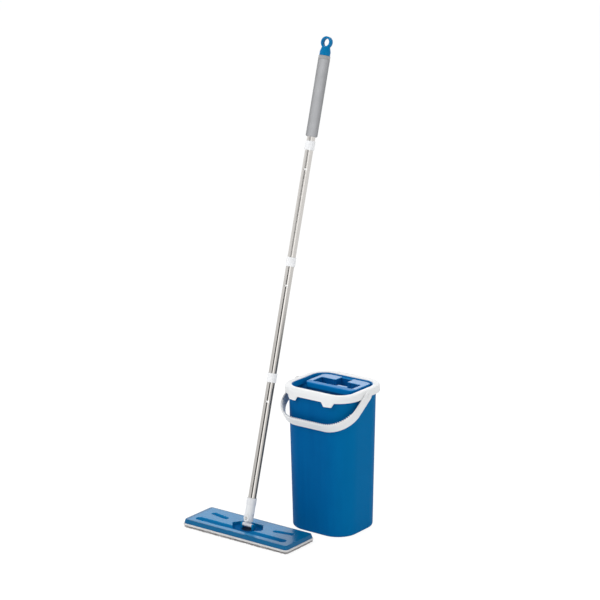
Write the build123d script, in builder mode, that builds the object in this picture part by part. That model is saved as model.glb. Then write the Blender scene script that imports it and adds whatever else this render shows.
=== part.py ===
# A flat mop with a folding head, and the tall bucket whose lift-out insert wrings its pad.
# Millimetres, +Z up. The origin is the centre of the bucket's base; the mop stands in front of it.
import os
from math import acos, atan2, cos, hypot, radians, sin

from build123d import *

# Fits between pieces
running_fit = 0.08  # radial play of a pin that turns in its hole
fixed_fit = 0.03  # radial play of a piece that is pushed or screwed in
seat_gap = 0.2  # between pieces that rest on one another
slide_gap = 0.4  # around a piece that lifts out, and beside one that swings

# Mop pad and its sewn edge
pad_length = 335.0
pad_width = 118.0
pad_thickness = 12.4
pad_corner = 12.0
pad_round = 3.0
binding_width = 4.0
binding_height = 5.0
binding_round = 1.2
binding_gap = 0.1

# Head plate
plate_margin = 2.0  # pad edge that shows around the plate
plate_thickness = 10.4
plate_edge = 3.0
plate_bevel = 2.6
plate_corner = 10.0
deck_round = 1.5
long_groove_depth = 5.5
short_groove_depth = 4.0
groove_taper = 52.0
long_groove_inset = 22.0
long_groove_width = 20.0
long_groove_offset = 29.0
long_groove_corner = 9.5
short_groove_length = 60.0
short_groove_width = 15.0
short_groove_x = 102.0
short_groove_y = 15.5
short_groove_turn = 10.0
recess_length = 96.0
recess_width = 54.0
recess_corner_x = 26.0
recess_corner_y = 19.0
recess_depth = 7.0
recess_taper = 12.0
strip_width = 22.0
strip_thickness = 1.2
strip_margin = 4.7  # plate edge beside each strip
strip_inset = 16.0
pocket_columns = 3
pocket_rib = 4.0
pocket_width = 44.0
pocket_depth = 4.0

# Two-way joint between the head and the pole
axis_rise = 3.5  # tilt axis above the deck
ear_radius = 4.2
ear_thickness = 5.0
joint_pin_radius = 2.5
hub_half_length = 14.0
hub_radius = 4.7
tab_radius = 7.0
tab_thickness = 9.0
cheek_radius = 10.0
cheek_thickness = 5.7
joint_gap = 0.35
stop_wall = 4.0
boss_radius = 8.0
boss_height = 1.5
pin_head_radius = 3.8
pin_head_height = 1.0

# Pole
pole_lean = 16.2  # degrees back from upright
tube_radius = 10.5
tube_wall = 1.0
socket_wall = 1.5
socket_top = 69.0  # measured from the tilt axis, like all reaches along the pole
socket_nut_length = 18.0
socket_nut_wall = 1.05
socket_spigot = 37.0
drain_radius = 2.2
drain_depth = 5.0
first_collar = 365.5
section_pitch = 295.7
section_joints = 3
collar_length = 23.5
collar_wall = 2.0
collar_round = 1.2
collar_septum = 1.5
insert_length = 60.0
thread_radius = 6.0
thread_length = 30.0
crimp_drop = 49.0
crimp_depth = 0.6
crimp_radius = 5.0
crimp_count = 4
pole_neck = 10.0
grip_length = 197.0
grip_radius = 15.0
grip_round = 3.0
grip_ring_length = 9.0
cap_plug_length = 35.0
cap_base_radius = 13.8
cap_base_height = 10.0
cap_neck_radius = 12.0  # half the neck's width, under the loop
cap_neck_height = 13.0
loop_radius = 15.0
loop_bore = 10.0
loop_thickness = 12.0
loop_round = 1.5
loop_sink = 4.6  # how far the loop is set into the neck

# Wringer insert
slot_play = 4.0  # spare room at the ends of the slot for the folded head
slot_depth = 39.0
slot_corner = 3.0
notch_width = 36.0
notch_depth = 24.0
notch_ramp_drop = 1.5  # the housing's top dips behind the notch
tongue_width = 31.0
tongue_reach = 9.0
tongue_offset = 28.5
housing_margin = 13.5
housing_front = 18.0
housing_back = 8.0
housing_height = 17.0
housing_corner = 14.0
housing_round = 2.5
apron_depth = 57.0
housing_back_gap = 6.0
tray_margin = 16.5
tray_wall = 2.2
tray_floor = 2.5
tray_drop = 1.5  # tray edge below the top of the collar
tray_corner = 38.0
slot_chamfer = 0.8
chute_wall = 2.2
chute_below_floor = 54.0
chute_side_play = 1.5
chute_front_play = 8.8
chute_back_play = 2.0
guide_rib_width = 2.0
guide_rib_depth = 1.5
guide_rib_pitch = 12.0
guide_ribs_a_side = 3
screw_radius = 1.5
screw_head_radius = 3.0
screw_head_height = 2.2
screw_grip = 7.0
screw_boss_radius = 4.0
screw_boss_height = 7.5
screw_x_out = 3.0  # screw axis outside the housing
screw_y_front = 10.0
screw_y_back = 30.0
lug_thickness = 3.0
lug_width = 11.0

# Squeegee
hinge_pin_radius = 2.0
barrel_radius = 4.0
barrel_back = 4.5  # hinge axis behind the slot's front edge
barrel_drop = 15.0  # hinge axis below the top of the housing
squeegee_end_play = 3.5
squeegee_arm = 33.0
squeegee_arm_thickness = 3.5
squeegee_lean = 24.0
lip_length = 12.0
lip_tip = 1.2
spring_thickness = 0.6
spring_width = 10.0
spring_spacing = 70.0
spring_foot = 16.0
spring_contact = 17.0

# Bucket
standing_room = 38.0  # tub depth beyond the head's length
collar_band = 17.0
collar_plate = 3.0
band_wall = 2.5
band_round = 6.0
rim_edge_round = 1.2
collar_side_top = 17.3  # flat top of the collar beside the tray
collar_front_top = 22.7
band_corner = 65.0
ledge_reach = 4.0
ledge_thickness = 2.5
clip_top = 34.0
clip_bottom = 21.0
clip_height = 11.0
clip_x = 54.0
rim_overhang = 8.0
tub_corner = 62.0
tub_corner_draft = 5.0
tub_draft = 7.2
tub_wall = 2.4
tub_floor = 3.0
tub_foot_round = 6.0
tub_rim_reach = 2.2
tub_rim_height = 3.5

# Bail
bail_drop = 13.0  # pivot below the top of the collar
bail_boss_radius = 10.0
bail_thickness = 4.0
bail_width = 25.0
bail_reach = 125.0
bail_corner = 69.0
bail_edge_round = 1.2
bail_rest_gap = 3.53  # the bail hangs this far off the tub's front
stud_radius = 4.0
stud_head_radius = 5.6
stud_head_height = 1.2
stud_lip_radius = 5.0
stud_lip_height = 1.6

# Where the mop stands
mop_side_gap = 1.6
mop_front_gap = 30.65

# Levels and outlines that follow from the sizes above
tub_height = pad_length + standing_room
collar_top = tub_height + collar_plate
slot_length = pad_width + slot_play
housing_length = slot_length + 2 * housing_margin
housing_width = housing_front + slot_depth + notch_depth + housing_back
opening_length = housing_length + 2 * tray_margin
opening_width = apron_depth + housing_width + housing_back_gap
band_length = opening_length + 2 * collar_side_top
band_width = opening_width + 2 * collar_front_top
tub_length = band_length - 2 * rim_overhang
tub_width = band_width - 2 * rim_overhang
opening_corner = tray_corner + slide_gap

tray_top = collar_top - tray_drop
housing_top = tray_top - tray_drop
floor_top = housing_top - housing_height
seat_level = floor_top - tray_floor
ledge_top = seat_level - seat_gap
chute_top = housing_top - tray_wall - seat_gap
chute_bottom = seat_level - chute_below_floor
housing_back_y = opening_width / 2 - housing_back_gap
housing_front_y = housing_back_y - housing_width
slot_front_y = housing_front_y + housing_front
slot_back_y = slot_front_y + slot_depth
notch_back_y = slot_back_y + notch_depth

bail_pivot_z = collar_top - bail_drop
bail_inner_x = band_length / 2 + slide_gap
bail_outer_x = bail_inner_x + bail_thickness
stud_outer_x = bail_outer_x + seat_gap + stud_head_height

# The bail hangs until the lower inside edge of its band comes near the tapered tub
bail_inner_reach = bail_reach - bail_thickness
tub_slope = tub_draft / tub_height
bail_run = bail_inner_reach + tub_slope * bail_width / 2
bail_fall = tub_slope * bail_inner_reach - bail_width / 2
bail_stand = tub_width / 2 - tub_draft + tub_slope * bail_pivot_z + bail_rest_gap
bail_hang = atan2(bail_fall, bail_run) + acos(bail_stand / hypot(bail_run, bail_fall))

socket_radius = tube_radius + socket_wall
nut_radius = socket_radius - socket_nut_wall / 2 + socket_nut_wall
fold_rise = nut_radius + ear_radius + joint_gap
plate_bottom = pad_thickness + binding_gap
deck = plate_bottom + plate_thickness
recess_floor = deck - recess_depth
plate_length = pad_length - 2 * plate_margin
plate_width = pad_width - 2 * plate_margin
tilt_height = deck + axis_rise
head_x = -(stud_outer_x + nut_radius + mop_side_gap)
head_y = -(band_width / 2 + mop_front_gap + pad_width / 2)
lean_y = sin(radians(pole_lean))
lean_z = cos(radians(pole_lean))
pole_axis = (0, lean_y, lean_z)
tube_bore = tube_radius - tube_wall

os.makedirs("parts", exist_ok=True)


def finish(piece, name):
    piece.part.label = name
    export_step(piece.part, f"parts/{name}.step")


def head_plane(height):
    return Plane(origin=(head_x, head_y, height))


def pole_point(reach):
    return (head_x, head_y + reach * lean_y, tilt_height + reach * lean_z)


def pole_plane(reach):
    return Plane(origin=pole_point(reach), x_dir=(1, 0, 0), z_dir=pole_axis)


def pole_side(reach):
    # Faces the front; its x runs along the head and its y up the pole
    return Plane(origin=pole_point(reach), x_dir=(1, 0, 0), z_dir=(0, -lean_z, lean_y))


def cross_plane(x, y, z):
    # Faces +X; its x runs to the back and its y upwards
    return Plane(origin=(x, y, z), x_dir=(0, 1, 0), z_dir=(1, 0, 0))


def tub_section(height, inset):
    draft = 1 - height / tub_height
    length = tub_length - 2 * (tub_draft * draft + inset)
    width = tub_width - 2 * (tub_draft * draft + inset)
    return RectangleRounded(length, width, tub_corner - tub_corner_draft * draft - inset)


def grown_opening(margin, mode=Mode.ADD):
    length = opening_length + 2 * margin
    width = opening_width + 2 * margin
    return RectangleRounded(length, width, opening_corner + margin, mode=mode)


def band_outline(inset, mode=Mode.ADD):
    length = band_length - 2 * inset
    width = band_width - 2 * inset
    return RectangleRounded(length, width, band_corner - inset, mode=mode)


def housing_outline(inset):
    length = housing_length - 2 * inset
    width = housing_width - 2 * inset
    with Locations((0, (housing_front_y + housing_back_y) / 2)):
        RectangleRounded(length, width, housing_corner - inset)
    grown_opening(-housing_back_gap - inset, mode=Mode.INTERSECT)


def span(x_low, x_high, y_low, y_high, mode=Mode.ADD):
    with Locations(((x_low + x_high) / 2, (y_low + y_high) / 2)):
        return Rectangle(x_high - x_low, y_high - y_low, mode=mode)


# Bucket tub: one tapered shell with a small rim
with BuildPart() as bucket_tub:
    for level in (0, tub_height):
        with BuildSketch(Plane.XY.offset(level)):
            tub_section(level, 0)
    loft()
    fillet(bucket_tub.edges().group_by(Axis.Z)[0], radius=tub_foot_round)
    with BuildSketch(Plane.XY.offset(tub_height - tub_rim_height)):
        tub_section(tub_height, -tub_rim_reach)
    extrude(amount=tub_rim_height)
    for level in (tub_floor, tub_height):
        with BuildSketch(Plane.XY.offset(level)):
            tub_section(level, tub_wall)
    loft(mode=Mode.SUBTRACT)
finish(bucket_tub, "bucket_tub")

# Clip tabs that hang below the collar's band, front and back
band_bottom = collar_top - collar_band
with BuildPart() as clip_tabs:
    with BuildSketch(Plane.XY.offset(band_bottom - clip_height)):
        band_outline(0)
        band_outline(band_wall, mode=Mode.SUBTRACT)
    extrude(amount=clip_height)
    with BuildSketch(Plane.XZ):
        with Locations((-clip_x, band_bottom), (clip_x, band_bottom)):
            Polygon(
                (-clip_top / 2, 0),
                (-clip_bottom / 2, -clip_height),
                (clip_bottom / 2, -clip_height),
                (clip_top / 2, 0),
                align=None,
            )
    extrude(amount=band_width, both=True, mode=Mode.INTERSECT)

# Rim collar: a ring of channel section over the tub's rim, with a ledge for the insert
with BuildPart() as rim_collar:
    with BuildSketch(Plane.XY.offset(band_bottom)):
        band_outline(0)
    extrude(amount=collar_band)
    fillet(rim_collar.edges().group_by(Axis.Z)[-1], radius=band_round)
    with BuildSketch(Plane.XY.offset(band_bottom)):
        band_outline(band_wall)
    extrude(amount=collar_band - collar_plate, mode=Mode.SUBTRACT)
    with BuildSketch(Plane.XY.offset(ledge_top - ledge_thickness)):
        grown_opening(band_wall)
    extrude(amount=collar_top - collar_plate - ledge_top + ledge_thickness)
    with BuildSketch(Plane.XY.offset(ledge_top)):
        grown_opening(0)
    extrude(amount=collar_top - ledge_top, mode=Mode.SUBTRACT)
    with BuildSketch(Plane.XY.offset(ledge_top)):
        grown_opening(-ledge_reach)
    extrude(amount=-ledge_thickness, mode=Mode.SUBTRACT)
    top_face = rim_collar.faces().filter_by(Axis.Z).sort_by(Axis.Z)[-1]
    fillet(top_face.inner_wires()[0].edges(), radius=rim_edge_round)
    for side in (-1, 1):
        with BuildSketch(cross_plane(side * (band_length / 2 - band_wall), 0, bail_pivot_z)):
            Circle(bail_boss_radius)
        extrude(amount=side * band_wall)
        with BuildSketch(cross_plane(side * (band_length / 2 - band_wall), 0, bail_pivot_z)):
            Circle(stud_radius + fixed_fit)
        extrude(amount=side * band_wall, mode=Mode.SUBTRACT)
    add(clip_tabs.part)
finish(rim_collar, "rim_collar")

# Bail studs: each snaps into the collar, and the bail's eye turns on it
with BuildPart() as bail_pivot_studs:
    lip_x = band_length / 2 - band_wall - fixed_fit
    for side in (-1, 1):
        for start, end, radius in (
            (lip_x - stud_lip_height, lip_x, stud_lip_radius),
            (lip_x, bail_outer_x + seat_gap, stud_radius),
            (bail_outer_x + seat_gap, stud_outer_x, stud_head_radius),
        ):
            with BuildSketch(cross_plane(side * start, 0, bail_pivot_z)):
                Circle(radius)
            extrude(amount=side * (end - start))
finish(bail_pivot_studs, "bail_pivot_studs")

# Bail: a band bent round the bucket, hanging forwards from its two eyes
hang_y = cos(bail_hang)
hang_z = sin(bail_hang)
bail_plane = Plane(origin=(0, 0, bail_pivot_z), x_dir=(1, 0, 0), z_dir=(0, -hang_z, hang_y))
back_up = Axis((0, 0, bail_pivot_z), (0, hang_y, hang_z))
band_side = Axis((0, 0, bail_pivot_z), (0, -hang_z, hang_y))
with BuildPart() as bail_handle:
    with BuildSketch(bail_plane):
        RectangleRounded(2 * bail_outer_x, 2 * bail_reach, bail_corner)
        RectangleRounded(
            2 * bail_inner_x,
            2 * bail_inner_reach,
            bail_corner - bail_thickness,
            mode=Mode.SUBTRACT,
        )
        span(-bail_outer_x, bail_outer_x, bail_width / 2, bail_reach, mode=Mode.SUBTRACT)
    extrude(amount=bail_width / 2, both=True)
    arm_ends = bail_handle.edges().filter_by(Axis.X).sort_by(back_up)[-4:]
    fillet(arm_ends, radius=bail_width / 2 - seat_gap)
    band_edges = bail_handle.faces().sort_by(band_side)
    fillet(band_edges[-1].edges() + band_edges[0].edges(), radius=bail_edge_round)
    with BuildSketch(cross_plane(-bail_outer_x, 0, bail_pivot_z)):
        Circle(stud_radius + running_fit)
    extrude(amount=2 * bail_outer_x, mode=Mode.SUBTRACT)
finish(bail_handle, "bail_handle")

# Wringer lid: a tray on the collar's ledge, with the raised housing and its slot
screw_points = [
    (side * (housing_length / 2 + screw_x_out), y)
    for side in (-1, 1)
    for y in (housing_front_y + screw_y_front, housing_front_y + screw_y_front + screw_y_back)
]
boss_bottom = seat_level - screw_boss_height
with BuildPart() as slot_housing:
    with BuildSketch(Plane.XY.offset(seat_level)):
        housing_outline(0)
    extrude(amount=housing_top - seat_level)
    fillet(slot_housing.edges().group_by(Axis.Z)[-1], radius=housing_round)

with BuildPart() as wringer_lid:
    with BuildSketch(Plane.XY.offset(seat_level)):
        grown_opening(-slide_gap)
    extrude(amount=tray_top - seat_level)
    with BuildSketch(Plane.XY.offset(floor_top)):
        grown_opening(-slide_gap - tray_wall)
    extrude(amount=tray_top - floor_top, mode=Mode.SUBTRACT)
    add(slot_housing.part)
    with BuildSketch(Plane.XY.offset(boss_bottom)):
        with Locations(*screw_points):
            Circle(screw_boss_radius)
    extrude(amount=screw_boss_height)
    with BuildSketch(Plane.XY.offset(boss_bottom)):
        with Locations(*screw_points):
            Circle(screw_radius + fixed_fit)
    extrude(amount=screw_boss_height, mode=Mode.SUBTRACT)
    with BuildSketch(Plane.XY.offset(boss_bottom)):
        housing_outline(tray_wall)
    extrude(amount=housing_top - tray_wall - boss_bottom, mode=Mode.SUBTRACT)
    with BuildSketch(Plane.XY.offset(housing_top)):
        span(-slot_length / 2, slot_length / 2, slot_front_y, slot_back_y)
        span(-notch_width / 2, notch_width / 2, slot_back_y, notch_back_y)
        tongue_low = tongue_offset - tongue_width / 2
        tongue_high = tongue_low + tongue_width
        span(tongue_low, tongue_high, slot_front_y, slot_front_y + tongue_reach, mode=Mode.SUBTRACT)
        fillet(vertices(), radius=slot_corner)
    extrude(amount=-tray_wall, mode=Mode.SUBTRACT)
    top_faces = wringer_lid.faces().filter_by(Axis.Z)
    housing_faces = top_faces.filter_by_position(Axis.Z, housing_top - seat_gap, housing_top + seat_gap)
    chamfer(housing_faces[0].inner_wires()[0].edges(), length=slot_chamfer)
    with BuildSketch(cross_plane(-notch_width / 2, notch_back_y, housing_top)):
        Polygon((0, -notch_ramp_drop), (housing_back - housing_round, 0), (0, 0), align=None)
    extrude(amount=notch_width, mode=Mode.SUBTRACT)
finish(wringer_lid, "wringer_lid")

# Wringer chute: the walls below the slot, screwed up into the lid's bosses
chute_x = slot_length / 2 + chute_side_play
chute_front_y = slot_front_y - chute_front_play
chute_back_y = slot_back_y + chute_back_play
pocket_x = notch_width / 2 + chute_side_play
pocket_back_y = notch_back_y + chute_back_play
hinge_y = slot_front_y - barrel_back
hinge_z = housing_top - barrel_drop
with BuildPart() as wringer_chute:
    with BuildSketch(Plane.XY.offset(chute_bottom)):
        outer_x = chute_x + chute_wall
        span(-outer_x, outer_x, chute_front_y - chute_wall, chute_back_y + chute_wall)
        span(-pocket_x - chute_wall, pocket_x + chute_wall, chute_front_y, pocket_back_y + chute_wall)
        span(-chute_x, chute_x, chute_front_y, chute_back_y, mode=Mode.SUBTRACT)
        span(-pocket_x, pocket_x, chute_front_y, pocket_back_y, mode=Mode.SUBTRACT)
        for side in (-1, 1):
            for rib in range(guide_ribs_a_side):
                rib_x = side * (pocket_x + guide_rib_pitch * (rib + 0.5))
                with Locations((rib_x, chute_back_y - guide_rib_depth / 2)):
                    Rectangle(guide_rib_width, guide_rib_depth)
    extrude(amount=chute_top - chute_bottom)
    with BuildSketch(Plane.XY.offset(boss_bottom - seat_gap - lug_thickness)):
        for x, y in screw_points:
            side = 1 if x > 0 else -1
            inner_x = side * chute_x
            with Locations((x, y)):
                Circle(lug_width / 2)
            span(min(inner_x, x), max(inner_x, x), y - lug_width / 2, y + lug_width / 2)
        span(-chute_x, chute_x, chute_front_y, chute_back_y, mode=Mode.SUBTRACT)
        with Locations(*screw_points):
            Circle(screw_radius + fixed_fit, mode=Mode.SUBTRACT)
    extrude(amount=lug_thickness)
    with BuildSketch(cross_plane(-chute_x - chute_wall, hinge_y, hinge_z)):
        Circle(hinge_pin_radius + fixed_fit)
    extrude(amount=2 * (chute_x + chute_wall), mode=Mode.SUBTRACT)
finish(wringer_chute, "wringer_chute")

with BuildPart() as chute_screws:
    head_top = boss_bottom - seat_gap - lug_thickness
    with BuildSketch(Plane.XY.offset(head_top - screw_head_height)):
        with Locations(*screw_points):
            Circle(screw_head_radius)
    extrude(amount=screw_head_height)
    with BuildSketch(Plane.XY.offset(head_top)):
        with Locations(*screw_points):
            Circle(screw_radius)
    extrude(amount=lug_thickness + seat_gap + screw_grip)
finish(chute_screws, "chute_screws")

# Squeegee: a sprung bar across the slot that presses a rubber lip on the pad
with BuildPart() as squeegee_hinge_pin:
    with BuildSketch(cross_plane(-chute_x - chute_wall, hinge_y, hinge_z)):
        Circle(hinge_pin_radius)
    extrude(amount=2 * (chute_x + chute_wall))
finish(squeegee_hinge_pin, "squeegee_hinge_pin")

bar_half = chute_x - squeegee_end_play
arm_y = sin(radians(squeegee_lean))
arm_z = -cos(radians(squeegee_lean))


def arm_point(along, across):
    # Across is positive on the bar's rear side, towards the pad
    return (along * arm_y - across * arm_z, along * arm_z + across * arm_y)


half_arm = squeegee_arm_thickness / 2
with BuildPart() as squeegee_bar:
    with BuildSketch(cross_plane(-bar_half, hinge_y, hinge_z)):
        Circle(barrel_radius)
        Polygon(
            arm_point(0, -half_arm),
            arm_point(squeegee_arm, -half_arm),
            arm_point(squeegee_arm, half_arm),
            arm_point(0, half_arm),
            align=None,
        )
        Circle(hinge_pin_radius + running_fit, mode=Mode.SUBTRACT)
    extrude(amount=2 * bar_half)
finish(squeegee_bar, "squeegee_bar")

with BuildPart() as squeegee_lip:
    with BuildSketch(cross_plane(-bar_half, hinge_y, hinge_z)):
        Polygon(
            arm_point(squeegee_arm, -half_arm),
            arm_point(squeegee_arm + lip_length, half_arm - lip_tip),
            arm_point(squeegee_arm + lip_length, half_arm),
            arm_point(squeegee_arm, half_arm),
            align=None,
        )
    extrude(amount=2 * bar_half)
finish(squeegee_lip, "squeegee_lip")

# Leaf springs between the chute's front wall and the bar
wall_y = chute_front_y + seat_gap + spring_thickness / 2 - hinge_y
contact_y, contact_z = arm_point(spring_contact, -half_arm - seat_gap - spring_thickness)
bend_z = contact_z - spring_foot
with BuildPart() as squeegee_springs:
    for side in (-1, 1):
        with BuildSketch(cross_plane(side * spring_spacing / 2 - spring_width / 2, hinge_y, hinge_z)):
            with BuildLine() as leaf:
                Polyline((wall_y, bend_z - spring_foot), (wall_y, bend_z), (contact_y, contact_z))
            trace(leaf.line, line_width=spring_thickness)
        extrude(amount=spring_width)
finish(squeegee_springs, "squeegee_springs")

# Mop pad, with a rebate round its top for the sewn edge
binding_bottom = pad_thickness - binding_height
with BuildPart() as mop_pad:
    with BuildSketch(head_plane(0)):
        RectangleRounded(pad_length, pad_width, pad_corner)
    extrude(amount=binding_bottom)
    fillet(mop_pad.edges().group_by(Axis.Z)[0], radius=pad_round)
    with BuildSketch(head_plane(binding_bottom)):
        inset = 2 * binding_width
        RectangleRounded(pad_length - inset, pad_width - inset, pad_corner - binding_width)
    extrude(amount=binding_height)
finish(mop_pad, "mop_pad")

with BuildPart() as pad_binding:
    with BuildSketch(head_plane(binding_bottom + binding_gap)):
        RectangleRounded(pad_length, pad_width, pad_corner)
        inset = 2 * (binding_width - binding_gap)
        RectangleRounded(
            pad_length - inset, pad_width - inset, pad_corner - inset / 2, mode=Mode.SUBTRACT
        )
    extrude(amount=binding_height - binding_gap)
    binding_top = pad_binding.faces().filter_by(Axis.Z).sort_by(Axis.Z)[-1]
    fillet(binding_top.outer_wire().edges(), radius=binding_round)
finish(pad_binding, "pad_binding")

# Head plate: bevelled deck with grooves, and a recess with two ears for the tilt pin
ear_x = hub_half_length + joint_gap
strip_length = plate_length - 2 * strip_inset
strip_spacing = plate_width - 2 * strip_margin - strip_width
pocket_room = (plate_length - recess_length) / 2 - strip_inset
pocket_pitch = pocket_room / pocket_columns
with BuildPart() as head_plate:
    with BuildSketch(head_plane(plate_bottom)):
        RectangleRounded(plate_length, plate_width, plate_corner)
    extrude(amount=plate_edge)
    for level, inset in ((plate_bottom + plate_edge, 0), (deck, plate_bevel)):
        with BuildSketch(head_plane(level)):
            RectangleRounded(plate_length - 2 * inset, plate_width - 2 * inset, plate_corner - inset)
    loft()
    fillet(head_plate.edges().group_by(Axis.Z)[-1], radius=deck_round)
    with BuildSketch(head_plane(deck)):
        with Locations((0, -long_groove_offset)):
            RectangleRounded(plate_length - 2 * long_groove_inset, long_groove_width, long_groove_corner)
    extrude(amount=-long_groove_depth, taper=groove_taper, mode=Mode.SUBTRACT)
    with BuildSketch(head_plane(deck)):
        for side in (-1, 1):
            with Locations((side * short_groove_x, short_groove_y)):
                SlotOverall(short_groove_length, short_groove_width, rotation=side * short_groove_turn)
    extrude(amount=-short_groove_depth, taper=groove_taper, mode=Mode.SUBTRACT)
    with BuildSketch(head_plane(deck)):
        Rectangle(recess_length, recess_width)
        chamfer(vertices(), length=recess_corner_x, length2=recess_corner_y)
    extrude(amount=-recess_depth, taper=recess_taper, mode=Mode.SUBTRACT)
    for side in (-1, 1):
        with BuildSketch(cross_plane(head_x + side * ear_x, head_y, tilt_height)):
            Circle(ear_radius)
            span(-ear_radius, ear_radius, recess_floor - tilt_height, 0)
        extrude(amount=side * ear_thickness)
    with BuildSketch(cross_plane(head_x - ear_x - ear_thickness, head_y, tilt_height)):
        Circle(joint_pin_radius + fixed_fit)
    extrude(amount=2 * (ear_x + ear_thickness), mode=Mode.SUBTRACT)
    with BuildSketch(head_plane(plate_bottom)):
        with GridLocations(0, strip_spacing, 1, 2):
            Rectangle(strip_length, strip_width)
    extrude(amount=strip_thickness, mode=Mode.SUBTRACT)
    with BuildSketch(head_plane(plate_bottom)):
        for side in (-1, 1):
            with Locations((side * (recess_length / 2 + pocket_room / 2), 0)):
                with GridLocations(pocket_pitch, 0, pocket_columns, 1):
                    Rectangle(pocket_pitch - pocket_rib, pocket_width)
    extrude(amount=pocket_depth, mode=Mode.SUBTRACT)
finish(head_plate, "head_plate")

with BuildPart() as hook_strips:
    with BuildSketch(head_plane(plate_bottom)):
        with GridLocations(0, strip_spacing, 1, 2):
            Rectangle(strip_length - 2 * binding_gap, strip_width - 2 * binding_gap)
    extrude(amount=strip_thickness)
finish(hook_strips, "hook_strips")

with BuildPart() as tilt_pin:
    with BuildSketch(cross_plane(head_x - ear_x - ear_thickness, head_y, tilt_height)):
        Circle(joint_pin_radius)
    extrude(amount=2 * (ear_x + ear_thickness))
finish(tilt_pin, "tilt_pin")

# Yoke: a hub that turns on the tilt pin, and a tab that the pole folds on
with BuildPart() as joint_yoke:
    with BuildSketch(cross_plane(head_x - hub_half_length, head_y, tilt_height)):
        Circle(hub_radius)
    extrude(amount=2 * hub_half_length)
    with BuildSketch(pole_side(0)):
        span(-tab_radius, tab_radius, 0, fold_rise)
        with Locations((0, fold_rise)):
            Circle(tab_radius)
    extrude(amount=tab_thickness / 2, both=True)
    with BuildSketch(pole_side(fold_rise)):
        Circle(joint_pin_radius + running_fit)
    extrude(amount=tab_thickness, both=True, mode=Mode.SUBTRACT)
    with BuildSketch(cross_plane(head_x - hub_half_length, head_y, tilt_height)):
        Circle(joint_pin_radius + running_fit)
    extrude(amount=2 * hub_half_length, mode=Mode.SUBTRACT)
finish(joint_yoke, "joint_yoke")

# Pole socket: a forked foot with a stop on one side, and a spigot inside the lowest tube
fork_inner = tab_thickness / 2 + joint_gap
fork_outer = fork_inner + cheek_thickness
socket_floor = fold_rise + cheek_radius
tube_seat = socket_floor + socket_wall
nut_bottom = socket_top - socket_nut_length
stop_x = tab_radius + joint_gap
thread_outer = nut_radius - socket_nut_wall
with BuildPart() as pole_socket:
    with BuildSketch(pole_side(fold_rise)):
        Circle(cheek_radius)
        span(-cheek_radius, stop_x + stop_wall, 0, cheek_radius)
        span(stop_x, stop_x + stop_wall, -tab_radius, cheek_radius)
    extrude(amount=fork_outer, both=True)
    with BuildSketch(pole_side(fold_rise)):
        Circle(stop_x)
        span(-socket_radius, stop_x, -cheek_radius, cheek_radius)
    extrude(amount=fork_inner, both=True, mode=Mode.SUBTRACT)
    with BuildSketch(pole_plane(fold_rise - cheek_radius)):
        Circle(socket_radius)
    extrude(amount=2 * cheek_radius, mode=Mode.INTERSECT)
    with BuildSketch(pole_plane(socket_floor)):
        Circle(socket_radius)
    extrude(amount=nut_bottom - socket_floor)
    with BuildSketch(pole_plane(nut_bottom)):
        Circle(thread_outer)
    extrude(amount=socket_nut_length - socket_nut_wall)
    with BuildSketch(pole_plane(tube_seat)):
        Circle(tube_radius + fixed_fit)
        Circle(tube_bore - fixed_fit, mode=Mode.SUBTRACT)
    extrude(amount=socket_top - tube_seat, mode=Mode.SUBTRACT)
    with BuildSketch(pole_plane(tube_seat)):
        Circle(tube_bore - fixed_fit)
    extrude(amount=socket_top - tube_seat + socket_spigot)
    with BuildSketch(pole_side(fold_rise).offset(fork_outer)):
        Circle(boss_radius)
    extrude(amount=boss_height)
    with BuildSketch(pole_side(fold_rise)):
        Circle(joint_pin_radius + fixed_fit)
    extrude(amount=fork_outer + boss_height, both=True, mode=Mode.SUBTRACT)
    with BuildSketch(cross_plane(*pole_point(tube_seat - drain_radius)).offset(socket_radius)):
        Circle(drain_radius)
    extrude(amount=-drain_depth, mode=Mode.SUBTRACT)
finish(pole_socket, "pole_socket")

with BuildPart() as fold_pin:
    with BuildSketch(pole_side(fold_rise).offset(-fork_outer)):
        Circle(joint_pin_radius)
    extrude(amount=2 * fork_outer + boss_height)
    with BuildSketch(pole_side(fold_rise).offset(fork_outer + boss_height)):
        Circle(pin_head_radius)
    extrude(amount=pin_head_height)
    fillet(fold_pin.edges().sort_by(Axis.Y)[0], radius=pin_head_height / 2)
finish(fold_pin, "fold_pin")

with BuildPart() as socket_nut:
    with BuildSketch(pole_plane(nut_bottom + seat_gap)):
        Circle(nut_radius)
        Circle(thread_outer + fixed_fit, mode=Mode.SUBTRACT)
    extrude(amount=socket_nut_length - socket_nut_wall)
    with BuildSketch(pole_plane(socket_top - socket_nut_wall + seat_gap)):
        Circle(nut_radius)
        Circle(tube_radius + fixed_fit, mode=Mode.SUBTRACT)
    extrude(amount=socket_nut_wall)
finish(socket_nut, "socket_nut")

# Pole sections: steel tubes that screw together through plastic collars
collar_starts = [first_collar + section_pitch * index for index in range(section_joints)]
collar_names = ["joint_collar_lower", "joint_collar_middle", "joint_collar_upper"]
insert_names = ["thread_insert_lower", "thread_insert_middle", "thread_insert_upper"]
tube_names = ["pole_tube_lower", "pole_tube_second", "pole_tube_third", "pole_tube_top"]
half_collar = collar_length / 2
grip_start = collar_starts[-1] + collar_length + pole_neck
grip_end = grip_start + grip_length
cap_start = grip_end + grip_ring_length + seat_gap
tube_starts = [tube_seat + fixed_fit] + [start + half_collar + collar_septum / 2 for start in collar_starts]
tube_ends = [start + half_collar - collar_septum / 2 for start in collar_starts] + [cap_start]
crimp_reaches = [socket_top + socket_spigot - crimp_radius] + [start - crimp_drop for start in collar_starts]

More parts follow.
